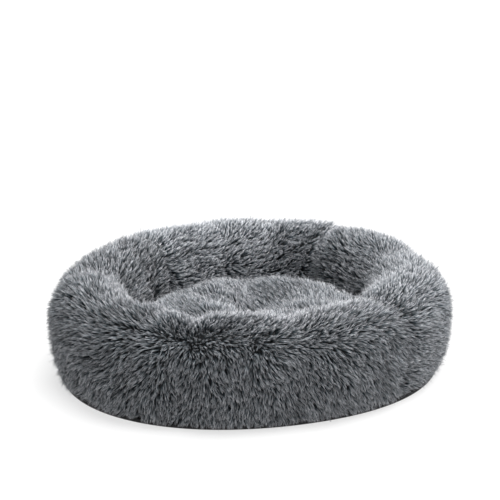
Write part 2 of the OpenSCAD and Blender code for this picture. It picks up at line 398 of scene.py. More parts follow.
# %% Puff a grid with cloth
PRESSURE = 4.0
FRAMES = 20
RING_CAP = 9 * MM
NEST_CAP = 5 * MM
SEAM_HOLD_WIDTH = 6 * MM


def quads(rows, columns, closed_columns=False):
    """Faces of a grid that closes around its rows, and along its columns if asked."""
    i = np.arange(rows)[:, None]
    j = np.arange(columns if closed_columns else columns - 1)[None, :]
    nxt, far = (i + 1) % rows, (j + 1) % columns
    corners = [i * columns + j, i * columns + far, nxt * columns + far, nxt * columns + j]
    return np.stack(np.broadcast_arrays(*corners), axis=-1).reshape(-1, 4)


def puff(name, grid, faces, held, cap):
    """Runs the cloth solver on a grid and returns the grid in its new place."""
    mesh = bpy.data.meshes.new(name)
    mesh.from_pydata(grid.reshape(-1, 3).tolist(), [], [list(map(int, f)) for f in faces])
    cloth = bpy.data.objects.new(name, mesh)
    scene.collection.objects.link(cloth)
    group = cloth.vertex_groups.new(name="held")
    for index, weight in enumerate(held):
        if weight > 0:
            group.add([index], float(weight), "REPLACE")
    settings = cloth.modifiers.new("puff", "CLOTH").settings
    settings.use_pressure = True
    settings.uniform_pressure_force = PRESSURE
    settings.vertex_group_mass = "held"
    settings.effector_weights.gravity = 0
    for number in range(1, FRAMES + 1):
        scene.frame_set(number)
    puffed = cloth.evaluated_get(bpy.context.evaluated_depsgraph_get())
    co = np.zeros(len(mesh.vertices) * 3, np.float32)
    puffed.data.vertices.foreach_get("co", co)
    moved = co.reshape(grid.shape).astype(float) - grid
    scene.frame_set(1)
    bpy.data.objects.remove(cloth)
    length = np.linalg.norm(moved, axis=2, keepdims=True)
    mean_mm, most_mm = length.mean() / MM, length.max() / MM
    print(f"{name}: cloth moved {mean_mm:.1f} mm on average, {most_mm:.1f} at most")
    return grid + moved * np.minimum(1, cap / np.maximum(length, 1e-9))


from_seams = [turn_between(theta, seam) * bed_r / SEAM_HOLD_WIDTH for seam in SEAMS]
seam_hold = sum(np.exp(-(away**2)) for away in from_seams)
ring_hold = np.where(seam_hold > 0.3, 1.0, 0.0)[:, None] * np.ones(len(loop))[None, :]
ring_hold = np.maximum(ring_hold, (loop[:, 1] < FOOT_Z + MM)[None, :] * 1.0)
ring = puff("ring_cloth", ring, quads(*ring.shape[:2], True), ring_hold.ravel(), RING_CAP)

nest = nest_grid(nest_profile(NEST_STEPS), ring)
print("nest grid:", nest.shape[0], "by", nest.shape[1], "points")
nest_hold = np.zeros(nest.shape[:2])
nest_hold[:, -2:] = 1
nest_hold[:, :3] = 1
last = nest.shape[1] - 1
rim = [i * (last + 1) + last for i in range(AROUND)]
hub = [i * (last + 1) for i in range(AROUND)]
lid_faces = [list(f) for f in quads(*nest.shape[:2])] + [rim, hub[::-1]]
nest = puff("nest_cloth", nest, lid_faces, nest_hold.ravel(), NEST_CAP)

# %% [markdown]
# ## The colour of the pile
# The pile is dark at its roots, where little light reaches, and pale at its tips. Each strand also
# has its own tone. Both can live in a UV map: its height runs from root to tip and its width holds
# the tones, so one small colour chart serves every strand. A ramp paints the length, and a second
# ramp across the width makes some strands darker and some lighter.

# %% Dye the pile
TONES = 48


def plush_material():
    """Grey polyester pile, coloured along a strand and from strand to strand."""
    material, nodes, links, shader = new_material(
        "plush_pile", Roughness=0.62, Specular_IOR_Level=0.22, Sheen_Weight=0.0
    )
    chart = nodes.new("ShaderNodeUVMap")
    chart.uv_map = "OFBake"
    split = nodes.new("ShaderNodeSeparateXYZ")
    length = nodes.new("ShaderNodeValToRGB")
    stops = [
        (0.0, (0.007, 0.010, 0.012)), (0.44, (0.088, 0.112, 0.127)),
        (0.78, (0.378, 0.398, 0.422)), (1.0, (0.690, 0.672, 0.698)),
    ]
    length.color_ramp.elements.remove(length.color_ramp.elements[1])
    length.color_ramp.elements[0].position = stops[0][0]
    length.color_ramp.elements[0].color = rgb(*stops[0][1])
    for position, colour in stops[1:]:
        length.color_ramp.elements.new(position).color = rgb(*colour)
    tone = nodes.new("ShaderNodeMapRange")
    tone.inputs["To Min"].default_value = 0.36
    tone.inputs["To Max"].default_value = 1.46
    blend = nodes.new("ShaderNodeVectorMath")
    blend.operation = "SCALE"
    links.new(chart.outputs["UV"], split.inputs["Vector"])
    links.new(split.outputs["Y"], length.inputs["Fac"])
    links.new(split.outputs["X"], tone.inputs["Value"])
    links.new(length.outputs["Color"], blend.inputs["Vector"])
    links.new(tone.outputs["Result"], blend.inputs["Scale"])
    links.new(blend.outputs["Vector"], shader.inputs["Base Color"])
    return material


plush = plush_material()

# %% [markdown]
# ## Growing the pile
# Long polyester pile doesn't stand as single hairs. It gathers in small pointed locks, and dark gaps
# show between them. So the pile is grown lock by lock. The locks stand in staggered rows like the
# loops of the knit. Each has a direction and a length, and its strands start side by side and run
# together towards its tip. Every strand is a thin three-sided spike, closed at its root, so that the
# pile is real geometry from every side. A few stray strands keep to themselves and make the outline
# soft.

# %% Find a place on a grid
def on_grid(values, rows, columns):
    """Values between the points of a grid that closes around its rows."""
    i0 = np.floor(rows).astype(int)
    j0 = np.clip(np.floor(columns).astype(int), 0, values.shape[1] - 2)
    fi, fj = (rows - i0)[:, None], (columns - j0)[:, None]
    i0, i1 = i0 % values.shape[0], (i0 + 1) % values.shape[0]
    near = values[i0, j0] * (1 - fj) + values[i0, j0 + 1] * fj
    far = values[i1, j0] * (1 - fj) + values[i1, j0 + 1] * fj
    return near * (1 - fi) + far * fi


def unit(vectors):
    """Vectors with a length of one."""
    return vectors / np.maximum(np.linalg.norm(vectors, axis=-1, keepdims=True), 1e-9)


# %% Place the locks
LOCK_STEP = 3.7 * MM
SCATTER = 0.36


def lock_places(grid, first, last, seed):
    """Row and column numbers of locks spread evenly over columns first to last of a grid."""
    random = np.random.default_rng(seed)
    lengths = np.linalg.norm(np.diff(grid, axis=1), axis=2).mean(axis=0)
    along = np.r_[0, np.cumsum(lengths)]
    rows, columns = [], []
    for number, at in enumerate(np.arange(along[first] + LOCK_STEP / 2, along[last], LOCK_STEP)):
        column = np.interp(at, along, np.arange(len(along)))
        circle = on_grid(grid, np.arange(AROUND, dtype=float), np.full(AROUND, column))
        girth = np.linalg.norm(circle - np.roll(circle, 1, axis=0), axis=1).sum()
        count = max(3, int(girth / LOCK_STEP))
        start = 0.5 * (number % 2)
        spread = (np.arange(count) + start + random.uniform(-SCATTER, SCATTER, count)) / count
        rows.append(spread % 1 * AROUND)
        strayed = column + random.uniform(-SCATTER, SCATTER, count) * LOCK_STEP / lengths.mean()
        columns.append(np.clip(strayed, first, last))
    return np.concatenate(rows), np.concatenate(columns)


# %% [markdown]
# Each strand is swept along a curve that bends from its root direction to its tip direction. The
# lock's curve is shared, and a strand's own offset from it shrinks towards the tip. Numpy does this
# for all strands of a piece at once, because a Python loop over a hundred thousand strands would be
# slow.

# %% Grow strands along locks
STRANDS_PER_LOCK = 4
RINGS = np.array([0.0, 0.36, 0.72])
WIDTHS = np.array([0.48, 0.44, 0.28]) * MM
LOCK_R = 1.2 * MM
ROOT_SINK = 1.5 * MM
FLOOR_GAP = 3 * MM


def strand_mesh(name, seed, root, first_way, last_way, length, offset, gather, tone, width):
    """One piece made of closed three-sided strands."""
    random = np.random.default_rng(seed)
    count = len(root)
    levels = np.r_[RINGS, 1.0]
    along = levels[None, :, None]
    bend = (last_way - first_way)[:, None] * along**2 / 2
    path = length[:, None, None] * (first_way[:, None] * along + bend)
    keep = 1 - gather[:, None, None] * along**1.2
    line = root[:, None] + offset[:, None] * keep + path
    line[..., 2] = np.maximum(line[..., 2], FLOOR_GAP * (0.4 + 0.6 * along[..., 0]))
    side = unit(np.cross(first_way, random.normal(size=(count, 3))))
    other = unit(np.cross(first_way, side))
    angles = np.arange(3) * 2 * math.pi / 3
    cos, sin = np.cos(angles)[None, :, None], np.sin(angles)[None, :, None]
    round_ = side[:, None] * cos + other[:, None] * sin
    girth = width[:, None, None, None] * WIDTHS[None, :, None, None]
    rings = line[:, :-1, None] + round_[:, None] * girth
    points = np.concatenate([rings.reshape(count, -1, 3), line[:, -1:]], axis=1)
    per = points.shape[1]

    # One strand's faces, and each corner's height along the strand: sides, tip, then the closed root
    faces, corner_heights = [], []
    for level in range(len(RINGS) - 1):
        low, high = levels[level], levels[level + 1]
        for k in range(3):
            a, b = level * 3 + k, level * 3 + (k + 1) % 3
            faces.append((a, b, b + 3, a + 3))
            corner_heights.append((low, low, high, high))
    top = (len(RINGS) - 1) * 3
    for k in range(3):
        faces.append((top + k, top + (k + 1) % 3, per - 1))
        corner_heights.append((levels[-2], levels[-2], 1.0))
    faces.append((2, 1, 0))
    corner_heights.append((0.0, 0.04, 0.08))
    sizes = np.array([len(f) for f in faces])
    corners = np.concatenate(faces)
    heights = np.concatenate(corner_heights)
    across = np.concatenate([(0, 1, 1, 0) if len(f) == 4 else (0, 1, 0.5) for f in faces])

    mesh = bpy.data.meshes.new(name)
    mesh.vertices.add(count * per)
    mesh.vertices.foreach_set("co", points.astype(np.float32).ravel())
    every = corners[None, :] + (np.arange(count) * per)[:, None]
    mesh.loops.add(every.size)
    mesh.loops.foreach_set("vertex_index", every.astype(np.int32).ravel())
    mesh.polygons.add(count * len(faces))
    total = np.tile(sizes, count)
    mesh.polygons.foreach_set("loop_start", np.r_[0, np.cumsum(total)[:-1]].astype(np.int32))
    mesh.polygons.foreach_set("use_smooth", np.ones(len(total), bool))
    chart = mesh.uv_layers.new(name="OFBake")
    slot = np.clip((tone * TONES).astype(int), 0, TONES - 1)
    u = (slot[:, None] + 0.1 + 0.8 * across[None, :]) / TONES
    v = 0.01 + 0.98 * np.broadcast_to(heights[None, :], u.shape)
    chart.data.foreach_set("uv", np.stack([u, v], axis=-1).astype(np.float32).ravel())
    mesh.materials.append(plush)
    mesh.update(calc_edges=True)
    piece = bpy.data.objects.new(name, mesh)
    scene.collection.objects.link(piece)
    return piece


# %% [markdown]
# ## Which way the pile lies
# Pile has a nap: it lies over in one direction, which each panel keeps from the roll that it was cut
# from. On the ring's front the locks point down and lean more and more to the right. On the right
# and at the back they lie along the ring. On the crest they stand up more, and what lean they have
# is along the ring. Slow and quick noise turns the nap from place to place, as if it had been
# stroked.

# %% Set the nap of the ring
# Each panel's first seam, then its nap: its turn from straight down the outer wall towards the next
# panel, in degrees, at its first and at its last seam, and how much paler (below zero, darker) its pile
# is painted: painted light and shade for how the light falls on that side of the bed
PANELS = {
    "back": (55, -70, -95, 0.30),
    "left": (145, -20, -38, -0.16),
    "front": (235, -22, 48, -0.02),
    "right": (325, 62, 84, 0.10),
}
# On the crest the nap lies along the ring, and it parts at the seam at 55 and at the pinch near 247
CREST_AT = [0, 54.9, 55.1, 145, 243, 252, 325, 360]
CREST_TURN = [80, 80, -85, -80, -70, 66, 76, 80]

SLOW_TURN, QUICK_TURN, LOCK_TURN = 60, 32, 15
LAY_SWAY, LOCK_LAY = 14, 8
LOCK_TONE, STRAND_TONE = 0.24, 0.15
STRAY_SHARE = 0.12


def grow(name, grid, rows, columns, turn, lay, length, seed, tone_and_painted_light):
    """Locks of strands at places on a grid, with the nap's turn and its lay from upright in degrees."""
    random = np.random.default_rng(seed)
    locks = len(rows)
    normal = unit(on_grid(normals_of(grid), rows, columns))
    place = on_grid(grid, rows, columns)
    step = 0.4
    around = unit(on_grid(grid, rows + step, columns) - on_grid(grid, rows - step, columns))
    down = unit(np.cross(around, normal))
    slow, quick = lumps(place, 0.06, seed + 1), lumps(place, 0.02, seed + 3)
    turn = turn + SLOW_TURN * slow + QUICK_TURN * quick + random.normal(0, LOCK_TURN, locks)
    turn = np.radians(turn)
    lay = lay + LAY_SWAY * lumps(place, 0.04, seed + 2) + random.normal(0, LOCK_LAY, locks)
    lay = np.radians(np.clip(lay, 4, 78))
    nap = down * np.cos(turn)[:, None] + around * np.sin(turn)[:, None]
    start, end = lay * 0.55, np.minimum(lay * 1.35 + 0.12, 1.5)
    first_way = normal * np.cos(start)[:, None] + nap * np.sin(start)[:, None]
    last_way = normal * np.cos(end)[:, None] + nap * np.sin(end)[:, None]
    length = length * random.uniform(0.82, 1.16, locks)

    each = STRANDS_PER_LOCK
    spread_r = LOCK_R * np.sqrt(random.uniform(0, 1, (locks, each)))
    spread_a = random.uniform(0, 2 * math.pi, (locks, each))
    offset = down[:, None] * (spread_r * np.cos(spread_a))[..., None]
    offset = offset + around[:, None] * (spread_r * np.sin(spread_a))[..., None]
    root = np.repeat((place - normal * ROOT_SINK)[:, None], each, axis=1)
    stray = random.uniform(0, 1, (locks, each)) < STRAY_SHARE
    gather = np.where(stray, 0.1, random.uniform(0.78, 0.96, (locks, each)))
    wander = random.normal(0, 1, (locks, each, 3)) * np.where(stray, 0.28, 0.10)[..., None]
    last = unit(np.repeat(last_way[:, None], each, axis=1) + wander)
    first = unit(np.repeat(first_way[:, None], each, axis=1) + wander * 0.4)
    long = length[:, None] * random.uniform(0.86, 1.04, (locks, each)) * np.where(stray, 1.2, 1.0)
    # The mean tone holds the pile's own tone together with painted light and shade for its zone and side
    tone = random.normal(tone_and_painted_light, LOCK_TONE, locks)[:, None]
    tone = np.clip(tone + random.normal(0, STRAND_TONE, (locks, each)), 0, 0.999)
    width = random.uniform(0.85, 1.2, (locks, each)) * np.where(stray, 0.7, 1.0)

    by_lock = (root, first, last, long, offset, gather, tone, width)
    by_strand = [values.reshape(locks * each, *values.shape[2:]) for values in by_lock]
    return strand_mesh(name, seed, *by_strand)


# %% Grow the ring's pile
PILE_LENGTH = 19 * MM
SHORTEST_PILE = 8 * MM
FOOT_COLUMN = int(SECTION_STEPS * 0.80)
WALL_COLUMN = int(SECTION_STEPS * 0.58)
INNER_COLUMN = int(SECTION_STEPS * 0.36)
LOWEST_INNER = int(SECTION_STEPS * 0.13)
LOWEST_OUTER = SECTION_STEPS - 2
open_ring = ring[:, :SECTION_STEPS]
zones = {
    "inner": (LOWEST_INNER, INNER_COLUMN),
    "crest": (INNER_COLUMN, WALL_COLUMN),
    "outer": (WALL_COLUMN, FOOT_COLUMN),
    "foot": (FOOT_COLUMN, LOWEST_OUTER),
}
# Each zone's mean pile tone with painted light and shade: the crest is painted paler and the walls
# darker, standing in for light from above
ZONE_TONE_AND_PAINTED_LIGHT = {"inner": 0.42, "crest": 0.56, "outer": 0.48, "foot": 0.44}
# Along the section, from the nest over the crest to the foot: how far the pile lies over, in
# degrees, how much it takes the crest's nap, and how much it takes its panel's painted light and shade
LAY_AT = [0, 0.34, 0.46, 0.56, 0.68, 0.85, 1]
LAY = [44, 38, 26, 30, 38, 38, 32]
CREST_SHARE = [0, 0.4, 1, 0.9, 0.2, 0, 0]
PAINTED_SIDE_LIGHT_SHARE = [1, 1, 1, 0.7, 0.3, 0.3, 0.3]
for zone, (first, last) in zones.items():
    zone_seed = 100 * (1 + list(zones).index(zone))
    all_rows, all_columns = lock_places(open_ring, first, last, zone_seed)
    all_bearings = np.degrees(all_rows * 2 * math.pi / AROUND)
    for number, (panel, (seam, turn_first, turn_last, painted_side_light)) in enumerate(PANELS.items()):
        here = (all_bearings - seam) % 360 < 90
        rows, columns, bearing = all_rows[here], all_columns[here], all_bearings[here]
        across = (bearing - seam) % 360 / 90
        height = on_grid(open_ring, rows, columns)[:, 2]
        length = np.clip((height - 4 * MM) / 0.75, SHORTEST_PILE, PILE_LENGTH)
        down_section = columns / SECTION_STEPS
        lay = np.interp(down_section, LAY_AT, LAY)
        on_crest = np.interp(down_section, LAY_AT, CREST_SHARE)
        on_wall = turn_first + (turn_last - turn_first) * across
        turn = on_wall * (1 - on_crest) + np.interp(bearing, CREST_AT, CREST_TURN) * on_crest
        # Painted light and shade: each zone and each side of the ring gets a paler or darker pile tone,
        # standing in for how the light falls there
        tone_and_painted_light = ZONE_TONE_AND_PAINTED_LIGHT[zone] + painted_side_light * np.interp(down_section, LAY_AT, PAINTED_SIDE_LIGHT_SHARE)
        name = f"pile_{panel}_{zone}"
        seed = zone_seed + 10 * number
        piece = grow(name, open_ring, rows, columns, turn, lay, length, seed, tone_and_painted_light)
        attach(piece, "bed")
        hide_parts(f"bolster_panel_{panel}")
        print(name, len(rows), "locks,", len(piece.data.polygons), "faces")

# %% Grow the nest's pile
NEST_LAST = int(NEST_STEPS * 0.86)
NEST_PILE = 19 * MM
NEST_LAY = 34.0
# The nest's mean pile tone, painted paler to stand in for the light that falls on the cushion's top
NEST_TONE_AND_PAINTED_LIGHT = 0.55
NEST_NAP = 150
nest_rows, nest_columns = lock_places(nest, 1, NEST_LAST, 7)
half_turn = nest_rows < AROUND / 2
halves = {"pile_nest_back": half_turn, "pile_nest_front": ~half_turn}
for number, (name, here) in enumerate(halves.items()):
    rows, columns = nest_rows[here], nest_columns[here]
    turn = NEST_NAP - np.degrees(rows * 2 * math.pi / AROUND)
    length = np.full(len(rows), NEST_PILE)
    seed = 700 + 10 * number
    piece = grow(name, nest, rows, columns, turn, NEST_LAY, length, seed, NEST_TONE_AND_PAINTED_LIGHT)
    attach(piece, "bed")
    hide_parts("nest_panel")
    print(name, len(rows), "locks,", len(piece.data.polygons), "faces")

# %% [markdown]
# ## Cloth, bags and filling under the pile
# Under the pile is a thin knitted backing, cut in four panels for the ring and one for the nest.
# Inside it a bag of pale non-woven cloth holds the polyester fibre. Each is an offset of the same
# grid, so the layers nest without touching: the backing is a closed shell two millimetres thick,
# and the bag and its filling are closed forms. They are hidden, but someone may open the zipper.

# %% Give the hidden cloths their materials
def set_ramp(ramp, dark, light, dark_at, light_at):
    """Sets the two stops of a colour ramp."""
    for stop, colour, position in zip(ramp.color_ramp.elements, (dark, light), (dark_at, light_at)):
        stop.color = rgb(*colour)
        stop.position = position


def paint(nodes, links, shader, value, ramp, bump, depth):
    """Lets one value set a shader's colour, through a ramp, and its relief."""
    relief = nodes.new("ShaderNodeBump")
    relief.inputs["Strength"].default_value = bump
    relief.inputs["Distance"].default_value = depth
    links.new(value, ramp.inputs["Fac"])
    links.new(ramp.outputs["Color"], shader.inputs["Base Color"])
    links.new(value, relief.inputs["Height"])
    links.new(relief.outputs["Normal"], shader.inputs["Normal"])


def patterned(name, dark, light, scale, detail=4.0, bump=0.3, stretch=(1, 1, 1), **sockets):
    """A material whose colour and bump follow one noise: good for felt, fibre, rubber and thread."""
    material, nodes, links, shader = new_material(name, **sockets)
    place = nodes.new("ShaderNodeTexCoord")
    mapping = nodes.new("ShaderNodeMapping")
    mapping.inputs["Scale"].default_value = stretch
    texture = nodes.new("ShaderNodeTexNoise")
    texture.inputs["Scale"].default_value = scale
    texture.inputs["Detail"].default_value = detail
    ramp = nodes.new("ShaderNodeValToRGB")
    set_ramp(ramp, dark, light, 0.3, 0.7)
    links.new(place.outputs["Object"], mapping.inputs["Vector"])
    links.new(mapping.outputs["Vector"], texture.inputs["Vector"])
    paint(nodes, links, shader, texture.outputs["Fac"], ramp, bump, 0.4 * MM)
    return material


def woven(name, dark, light, pitch, bump=0.5, **sockets):
    """A plain weave: two sets of yarns that cross, each a band of light across the other."""
    material, nodes, links, shader = new_material(name, **sockets)
    place = nodes.new("ShaderNodeTexCoord")
    yarns = []
    for direction in ("X", "Y"):
        band = nodes.new("ShaderNodeTexWave")
        band.bands_direction = direction
        band.inputs["Scale"].default_value = 1 / pitch * 0.314
        band.inputs["Distortion"].default_value = 0.35
        band.inputs["Detail"].default_value = 1.0
        links.new(place.outputs["Object"], band.inputs["Vector"])
        yarns.append(band)
    cross = nodes.new("ShaderNodeMath")
    cross.operation = "MULTIPLY"
    ramp = nodes.new("ShaderNodeValToRGB")
    set_ramp(ramp, dark, light, 0.0, 0.75)
    links.new(yarns[0].outputs["Fac"], cross.inputs[0])
    links.new(yarns[1].outputs["Fac"], cross.inputs[1])
    paint(nodes, links, shader, cross.outputs["Value"], ramp, bump, 0.25 * MM)
    return material


# The backing's near-black is partly the knit's own dark grey and partly painted shade, which darkens the
# gaps between the locks
knit_with_painted_shade = woven("knit_backing_painted_shade", (0.012, 0.013, 0.014), (0.03, 0.032, 0.034), 2.4 * MM, Roughness=0.95)
felt = patterned("nonwoven_lining", (0.62, 0.62, 0.60), (0.78, 0.78, 0.75), 900, Roughness=0.9)
fibre = patterned(
    "polyester_fibre", (0.72, 0.72, 0.70), (0.9, 0.9, 0.88), 260, bump=0.8, Roughness=0.85
)


# %% Make shells and closed forms from a grid
def take(piece, body, slot, *nodes):
    """Fixes a piece to its body and hides the solids that it stands for. The slot is not used."""
    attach(piece, body)
    if nodes:
        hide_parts(*nodes)
    return piece


def strip_quads(rows, columns):
    """Faces of an open grid."""
    i, j = np.arange(rows - 1)[:, None], np.arange(columns - 1)[None, :]
    near, far = i * columns, (i + 1) * columns
    corners = [near + j, near + j + 1, far + j + 1, far + j]
    return np.stack(np.broadcast_arrays(*corners), axis=-1).reshape(-1, 4)


def panel_shell(name, outer, inner, material):
    """A closed shell between two open grids of the same size."""
    rows, columns = outer.shape[:2]
    front = strip_quads(rows, columns)
    edge = list(range(columns)) + [i * columns + columns - 1 for i in range(1, rows)]
    edge += [(rows - 1) * columns + j for j in range(columns - 2, -1, -1)]
    edge += [i * columns for i in range(rows - 2, 0, -1)]
    behind = rows * columns
    rim = [(b, a, a + behind, b + behind) for a, b in zip(edge, edge[1:] + edge[:1])]
    faces = front.tolist() + (front[:, ::-1] + behind).tolist() + rim
    verts = np.vstack([outer.reshape(-1, 3), inner.reshape(-1, 3)]).tolist()
    return object_from(name, verts, faces, material)


def closed_form(name, grid, material, columns_close):
    """A closed form from a grid that closes around: a ring, or a cushion shut by a top and a foot."""
    rows, columns = grid.shape[:2]
    faces = quads(rows, columns, columns_close).tolist()
    if not columns_close:
        faces.append([i * columns + columns - 1 for i in range(rows)])
        faces.append([i * columns for i in range(rows)][::-1])
    return object_from(name, grid.reshape(-1, 3).tolist(), faces, material)


# %% Make the ring's layers
BACKING = 2 * MM
BAG_GAP = 1 * MM
FILL_GAP = 2.5 * MM
ring_normals = normals_of(ring, True)
inner_ring = ring - ring_normals * BACKING
for panel, (seam, _, _, _) in PANELS.items():
    start = round(seam / 360 * AROUND)
    rows = np.arange(start, start + AROUND // 4 + 1) % AROUND
    outside, inside = ring[rows][:, :SECTION_STEPS], inner_ring[rows][:, :SECTION_STEPS]
    piece = panel_shell(f"backing_{panel}", outside, inside, knit_with_painted_shade)
    take(piece, "bed", "plush", f"bolster_panel_{panel}")
ring_bag = closed_form("bolster_bag", ring - ring_normals * (BACKING + BAG_GAP), felt, True)
take(ring_bag, "bed", "lining", "bolster_lining")
ring_fibre = closed_form("bolster_fibre", ring - ring_normals * (BACKING + FILL_GAP), fibre, True)
take(ring_fibre, "bed", "fibre_fill", "bolster_fill")

# %% Make the nest's layers
nest_normals = normals_of(nest)
under_nest = nest - nest_normals * BACKING
behind = nest.size // 3
first_point = np.arange(AROUND) * NEST_STEPS
top_cap, under_cap = first_point.tolist(), (first_point + behind).tolist()
nest_faces = quads(AROUND, NEST_STEPS)
last_point = (first_point + NEST_STEPS - 1).tolist()
nest_rim = zip(last_point, last_point[1:] + last_point[:1])
cover_faces = nest_faces.tolist() + (nest_faces[:, ::-1] + behind).tolist()
cover_faces += [(b, a, a + behind, b + behind) for a, b in nest_rim] + [top_cap[::-1], under_cap]
cover_verts = np.vstack([nest.reshape(-1, 3), under_nest.reshape(-1, 3)]).tolist()
nest_cover = object_from("backing_nest", cover_verts, cover_faces, knit_with_painted_shade)
take(nest_cover, "bed", "plush", "nest_panel")
nest_bag = closed_form("nest_bag", nest - nest_normals * (BACKING + BAG_GAP), felt, False)
take(nest_bag, "bed", "lining", "nest_lining")
nest_fibre = closed_form("nest_fibre", nest - nest_normals * (BACKING + FILL_GAP), fibre, False)
take(nest_fibre, "bed", "fibre_fill", "nest_fill")

# %% [markdown]
# ## The base
# The bed stands on two half discs of black Oxford, a coarse coated weave. Where they meet, each
# steps up, turns in over the zipper and ends as a hem, so that the zipper never touches the floor.
# Each half is one sheet: a grid of rays from the hem's edge, over the two folds and out to the
# bed's outline. Solidify then gives the sheet its real thickness. Its flat size adds the fold's
# height to the ground that it covers.

# %% Weave the base
CHANNEL_HALF = 15 * MM
HEM_GAP = 5.3 * MM
CHANNEL_END = 220 * MM
HEM_END = 196 * MM
BASE_T = 1.2 * MM
FOLD = 1.2 * MM
oxford = woven("black_oxford", (0.006, 0.006, 0.007), (0.034, 0.034, 0.037), 1.1 * MM, Roughness=0.72)


def foot_line(angles, inset):
    """Radius of the base's outline drawn in by inset, in each direction."""
    return reach(angles) + foot_shift(angles) - (bed_r - binding_r) - inset


def rectangle_radius(angles, half_x, half_y):
    """Distance from the centre to a rectangle's edge, in each direction."""
    across = half_x / np.maximum(np.abs(np.cos(angles)), 1e-9)
    return np.minimum(across, half_y / np.maximum(np.abs(np.sin(angles)), 1e-9))


def base_half(name, side):
    """One half of the base: side is -1 for the front and 1 for the back."""
    along = np.linspace(CHANNEL_END, -CHANNEL_END, 112)
    short = np.linspace(0, CHANNEL_HALF, 6)
    angles = np.r_[
        np.arctan2(short, CHANNEL_END), np.arctan2(CHANNEL_HALF, along)[1:-1],
        np.arctan2(short[::-1], -CHANNEL_END),
    ]
    angles = angles if side > 0 else -angles
    roof, sheet_z = base_high.z - BASE_T / 2, base_z + BASE_T / 2
    hem = rectangle_radius(angles, HEM_END, HEM_GAP)
    folds = [(hem, roof)]
    folds += [
        (rectangle_radius(angles, CHANNEL_END + out, CHANNEL_HALF + out), z)
        for out, z in (
            (-FOLD, roof), (-FOLD / 3, roof - FOLD / 3), (0, roof - FOLD), (0, sheet_z + FOLD),
            (FOLD / 3, sheet_z + FOLD / 3), (FOLD, sheet_z),
        )
    ]
    edge = foot_line(angles, binding_r - base_r)
    inner = folds[-1][0]
    folds += [(inner + (edge - inner) * step, sheet_z) for step in np.linspace(0, 1, 12)[1:]]
    radius = np.stack([r for r, _ in folds], axis=1)
    x, y = radius * np.cos(angles)[:, None], radius * np.sin(angles)[:, None]
    grid = np.stack([x, y, np.broadcast_to([z for _, z in folds], radius.shape)], axis=2)
    faces = strip_quads(*grid.shape[:2])
    faces = faces if side < 0 else faces[:, ::-1]
    piece = object_from(name, grid.reshape(-1, 3).tolist(), faces.tolist(), oxford)
    area = sum(face.area for face in piece.data.polygons)
    flat = (round(float(np.ptp(x)), 3), round(float(np.ptp(y) + roof - sheet_z), 3))
    thick = piece.modifiers.new("thick", "SOLIDIFY")
    thick.thickness, thick.offset = BASE_T, 0.0
    return piece, flat, area


for side, half in ((-1, "front"), (1, "back")):
    piece, flat, area = base_half(f"oxford_{half}", side)
    take(piece, "bed", "oxford", f"base_fabric_{half}")
    print(piece.name, "laid flat:", flat, "m and", round(area, 4), "m2")

# %% [markdown]
# A folded tape binds the edge where the plush meets the base. It is a tube with a flat, rounded
# section that follows the outline. A row of stitches just inside it holds it to the Oxford.

# %% Bind the edge
binding = patterned(
    "binding_tape", (0.007, 0.007, 0.008), (0.03, 0.03, 0.032), 1300, bump=0.6, Roughness=0.85
)
BINDING_ROUND = 2.2 * MM
PUCKER = 0.25 * MM
PUCKERS = 216


def rounded_box(half_w, half_h, radius, steps=4):
    """Corner points of a rounded rectangle around its centre."""
    points = []
    for turn in range(4):
        cx = (half_w - radius) * (1 if turn in (0, 3) else -1)
        cy = (half_h - radius) * (1 if turn in (0, 1) else -1)
        for a in np.linspace(turn * math.pi / 2, (turn + 1) * math.pi / 2, steps):
            points.append((cx + radius * math.cos(a), cy + radius * math.sin(a)))
    return np.array(points)


tape_w = binding_r - base_r
profile = rounded_box(tape_w / 2, binding_h / 2, BINDING_ROUND)
radius = foot_line(theta, tape_w / 2)[:, None] + profile[None, :, 0]
on_top = profile[None, :, 1] > 0
pucker = PUCKER * np.sin(theta * PUCKERS)[:, None] * on_top
height = binding_h / 2 + profile[None, :, 1] - pucker - PUCKER * on_top
x, y = radius * np.cos(theta)[:, None], radius * np.sin(theta)[:, None]
tape_grid = np.stack([x, y, height], axis=2)
take(closed_form("base_tape", tape_grid[:, ::-1], binding, True), "bed", "binding", "base_binding")

# %% [markdown]
# ## Stitches, grip dots and the label
# A lockstitch shows as a short, slightly domed thread that dips into the cloth at both ends. One
# stitch is built once as a small capsule and copied along each row into a single mesh. The grip dots
# are printed rubber: low domes in staggered rows. The care label is a blank satin ribbon.

# %% Copy small shapes along rows
def copies(name, verts, faces, places, material):
    """One mesh that holds a small shape at each (x, y, z, turn)."""
    verts = np.array(verts, float)
    points = []
    for x, y, z, turn in places:
        c, s = math.cos(turn), math.sin(turn)
        spun = verts @ np.array([[c, s, 0], [-s, c, 0], [0, 0, 1]])
        points.append(spun + (x, y, z))
    every = [[v + k * len(verts) for v in face] for k in range(len(places)) for face in faces]
    return object_from(name, np.vstack(points).tolist(), every, material)


def lathe_x(outline, sides):
    """A closed form turned about the X axis from points (x, radius), both ends drawn to a point."""
    turns = [k * 2 * math.pi / sides for k in range(sides)]
    steps = [(k, (k + 1) % sides) for k in range(sides)]
    verts = [(outline[0][0], 0, 0)]
    for x, r in outline[1:-1]:
        verts += [(x, r * math.cos(turn), r * math.sin(turn)) for turn in turns]
    verts.append((outline[-1][0], 0, 0))
    faces = [(0, 1 + after, 1 + k) for k, after in steps]
    for ring_number in range(len(outline) - 3):
        a = 1 + ring_number * sides
        faces += [(a + k, a + after, a + sides + after, a + sides + k) for k, after in steps]
    a, tip = 1 + (len(outline) - 3) * sides, len(verts) - 1
    faces += [(a + k, a + after, tip) for k, after in steps]
    return verts, faces


